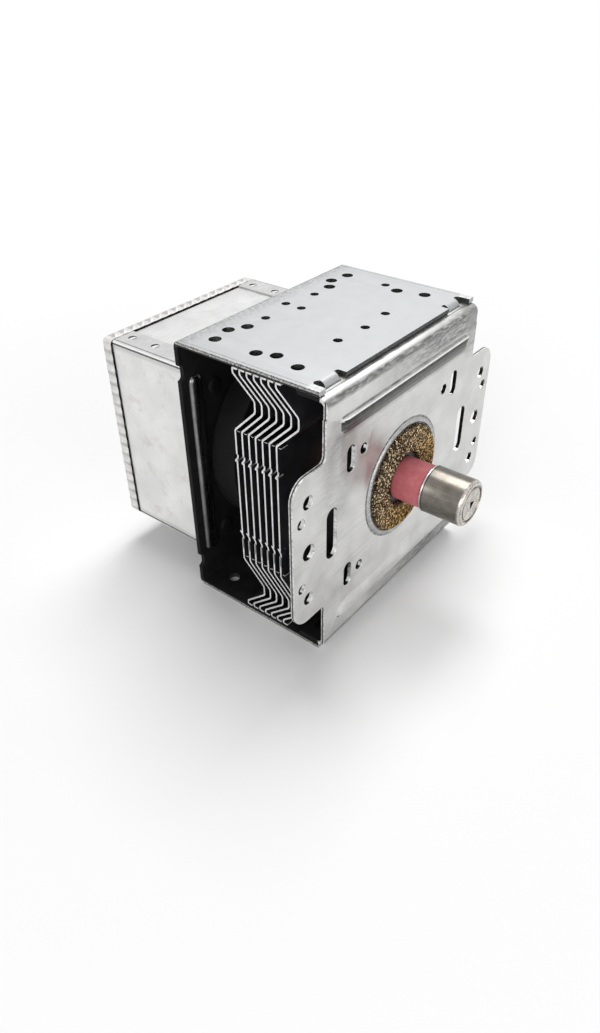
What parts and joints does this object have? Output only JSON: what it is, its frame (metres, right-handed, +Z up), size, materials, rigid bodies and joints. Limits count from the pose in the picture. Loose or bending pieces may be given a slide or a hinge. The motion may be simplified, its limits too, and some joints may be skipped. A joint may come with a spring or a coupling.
{
  "type": "magnetron",
  "caption": "Microwave oven magnetron: finned vacuum tube in a steel yoke between ring magnets, with a capped antenna, a slotted mounting plate and a filter box behind.",
  "frame": {"origin": "underside of the yoke, at the middle of the yoke's width and of its depth", "axes": "the antenna points to -Y and the filter box lies at +Y, +X is the filter box's connector side, +Z is up; the tube's axis runs along Y at half the yoke's height"},
  "size_m": [0.1088, 0.1183, 0.091],
  "materials": {
    "zinc_steel": "satin zinc plating, lightly mottled and scratched",
    "aluminium_sheet": "bright rolled sheet",
    "ferrite": "dull black, sintered",
    "copper": "bright copper",
    "pole_steel": "pressed soft iron",
    "seal_metal": "pressed sealing alloy",
    "pink_ceramic": "unglazed rose pink alumina",
    "white_ceramic": "unglazed white alumina",
    "cap_steel": "drawn stainless steel, finely brushed round",
    "knitted_wire": "knitted and pressed wire, golden brown",
    "tungsten": "grey drawn wire",
    "enamelled_wire": "copper wire in brown enamel",
    "capacitor_plastic": "moulded dark blue plastic",
    "tinned_brass": "tin plated"
  },
  "bodies": {
    "root": {"yoke_frame": "zinc_steel", "mounting_plate": "zinc_steel", "front_magnet": "ferrite", "rear_magnet": "ferrite", "anode_block": "copper", "front_inner_strap": "copper", "front_outer_strap": "copper", "rear_inner_strap": "copper", "rear_outer_strap": "copper", "front_pole_piece": "pole_steel", "rear_pole_piece": "pole_steel", "front_seal_cup": "seal_metal", "rear_seal_cup": "seal_metal", "output_ceramic": "pink_ceramic", "antenna_sleeve": "seal_metal", "exhaust_tube": "copper", "antenna_cap": "cap_steel", "antenna_lead": "copper", "front_end_hat": "tungsten", "rear_end_hat": "tungsten", "filament": "tungsten", "centre_lead": "tungsten", "side_lead": "tungsten", "stem_ceramic": "white_ceramic", "upper_stem_terminal": "tinned_brass", "lower_stem_terminal": "tinned_brass", "cooling_fin_1": "aluminium_sheet", "cooling_fin_2": "aluminium_sheet", "cooling_fin_3": "aluminium_sheet", "cooling_fin_4": "aluminium_sheet", "cooling_fin_5": "aluminium_sheet", "cooling_fin_6": "aluminium_sheet", "cooling_fin_7": "aluminium_sheet", "rf_gasket": "knitted_wire", "box_rivet_1": "zinc_steel", "box_rivet_2": "zinc_steel", "box_rivet_3": "zinc_steel", "box_rivet_4": "zinc_steel", "filter_box": "zinc_steel", "filter_lid": "zinc_steel", "upper_choke_coil": "enamelled_wire", "lower_choke_coil": "enamelled_wire", "upper_choke_core": "ferrite", "lower_choke_core": "ferrite", "capacitor_plate": "zinc_steel", "capacitor_body": "capacitor_plastic", "upper_capacitor_rivet": "zinc_steel", "lower_capacitor_rivet": "zinc_steel", "upper_capacitor_stud": "tinned_brass", "lower_capacitor_stud": "tinned_brass", "upper_terminal_blade": "tinned_brass", "lower_terminal_blade": "tinned_brass"}
  },
  "joints": []
}
